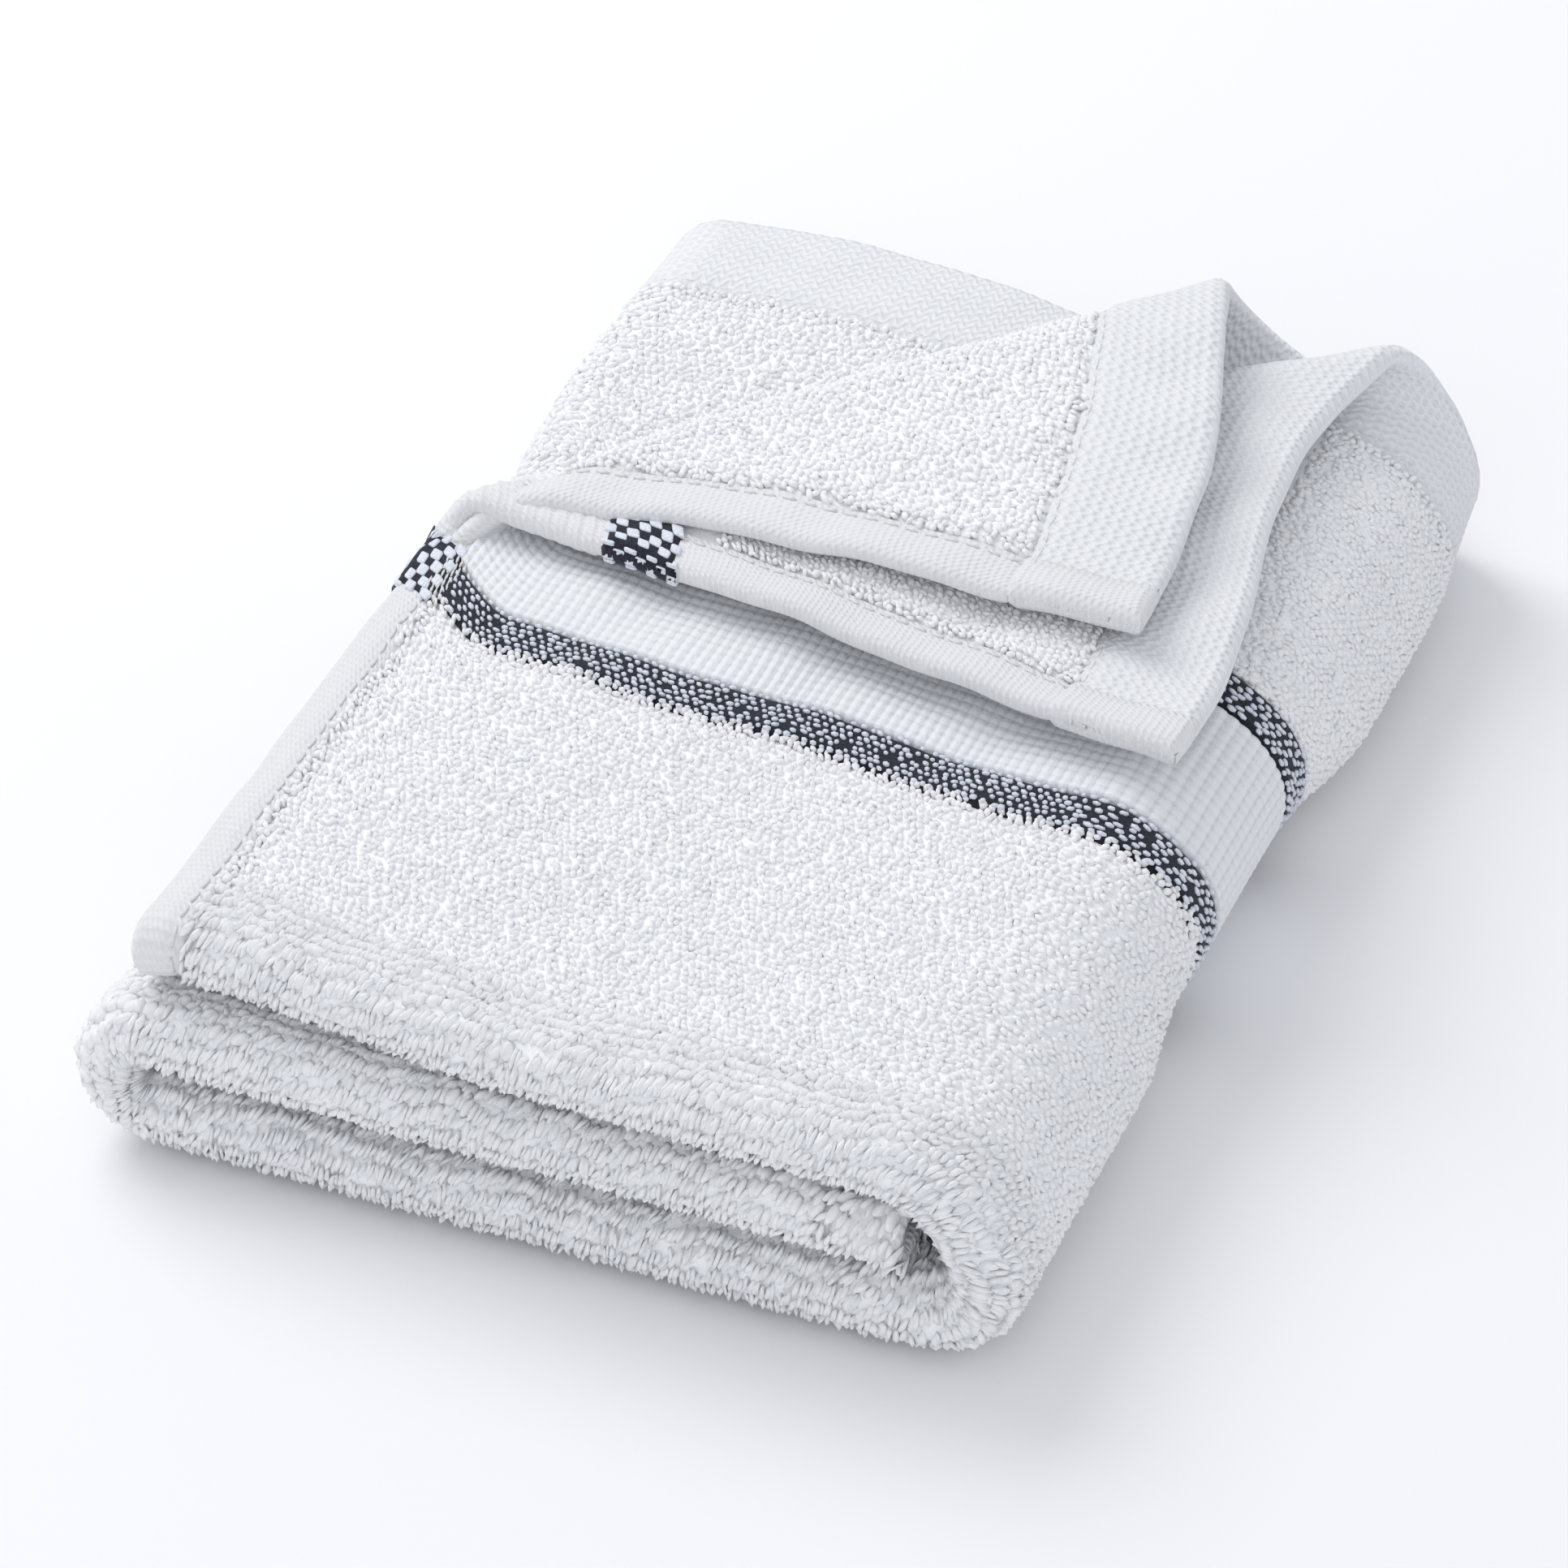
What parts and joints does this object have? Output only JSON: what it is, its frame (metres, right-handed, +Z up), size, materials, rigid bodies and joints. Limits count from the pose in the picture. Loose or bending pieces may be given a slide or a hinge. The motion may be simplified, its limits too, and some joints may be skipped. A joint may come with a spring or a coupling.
{
  "type": "terry towel",
  "caption": "White terry towel with a dark checked stripe and ribbed band near each hemmed end, folded in half and in thirds with one corner turned back.",
  "frame": {"origin": "middle of the base on the plane that the folded towel rests on", "axes": "+X across the folded width from the hemmed side to the right fold, +Y from the front folds to the hemmed ends, +Z up"},
  "size_m": [0.1342, 0.212, 0.0487],
  "materials": {
    "terry": "looped cotton pile, matt, cool white",
    "flat_weave": "flat basket and twill weave, matt white",
    "ribbed_band": "ribbed dobby weave with short floats, matt white",
    "striped_weave": "near-black and white checked weave, matt",
    "sewing_thread": "pale grey spun sewing thread"
  },
  "bodies": {
    "root": {"bottom_front_fold": "terry", "bottom_inner_end_hem": "flat_weave", "bottom_inner_panel": "terry", "bottom_outer_end_hem": "flat_weave", "bottom_outer_panel": "terry", "inner_flap_front_fold": "terry", "inner_flap_lower_end_hem": "flat_weave", "inner_flap_lower_panel": "terry", "inner_flap_lower_side_hem": "flat_weave", "inner_flap_upper_end_hem": "flat_weave", "inner_flap_upper_panel": "terry", "inner_flap_upper_side_hem": "flat_weave", "left_fold_inner": "terry", "left_fold_outer": "terry", "right_fold_end_hem": "flat_weave", "right_fold_end_terry": "terry", "right_fold_far_stripe": "striped_weave", "right_fold_inner": "terry", "right_fold_main_terry": "terry", "right_fold_near_stripe": "striped_weave", "right_fold_rib_band": "ribbed_band", "top_end_hem": "flat_weave", "top_end_terry": "terry", "top_far_stripe": "striped_weave", "top_front_fold": "terry", "top_inner_panel": "terry", "top_inner_side_hem": "flat_weave", "top_main_terry": "terry", "top_near_stripe": "striped_weave", "top_outer_side_hem": "flat_weave", "top_rib_band": "ribbed_band", "top_side_hem_thread": "sewing_thread", "turned_end_hem_thread": "sewing_thread", "turned_inner_end_hem": "flat_weave", "turned_inner_panel": "terry", "turned_inner_roll": "terry", "turned_inner_side_hem": "flat_weave", "turned_outer_end_hem": "flat_weave", "turned_outer_panel": "terry", "turned_outer_roll": "terry", "turned_outer_side_hem": "flat_weave", "turned_side_hem_thread": "sewing_thread"}
  },
  "joints": []
}
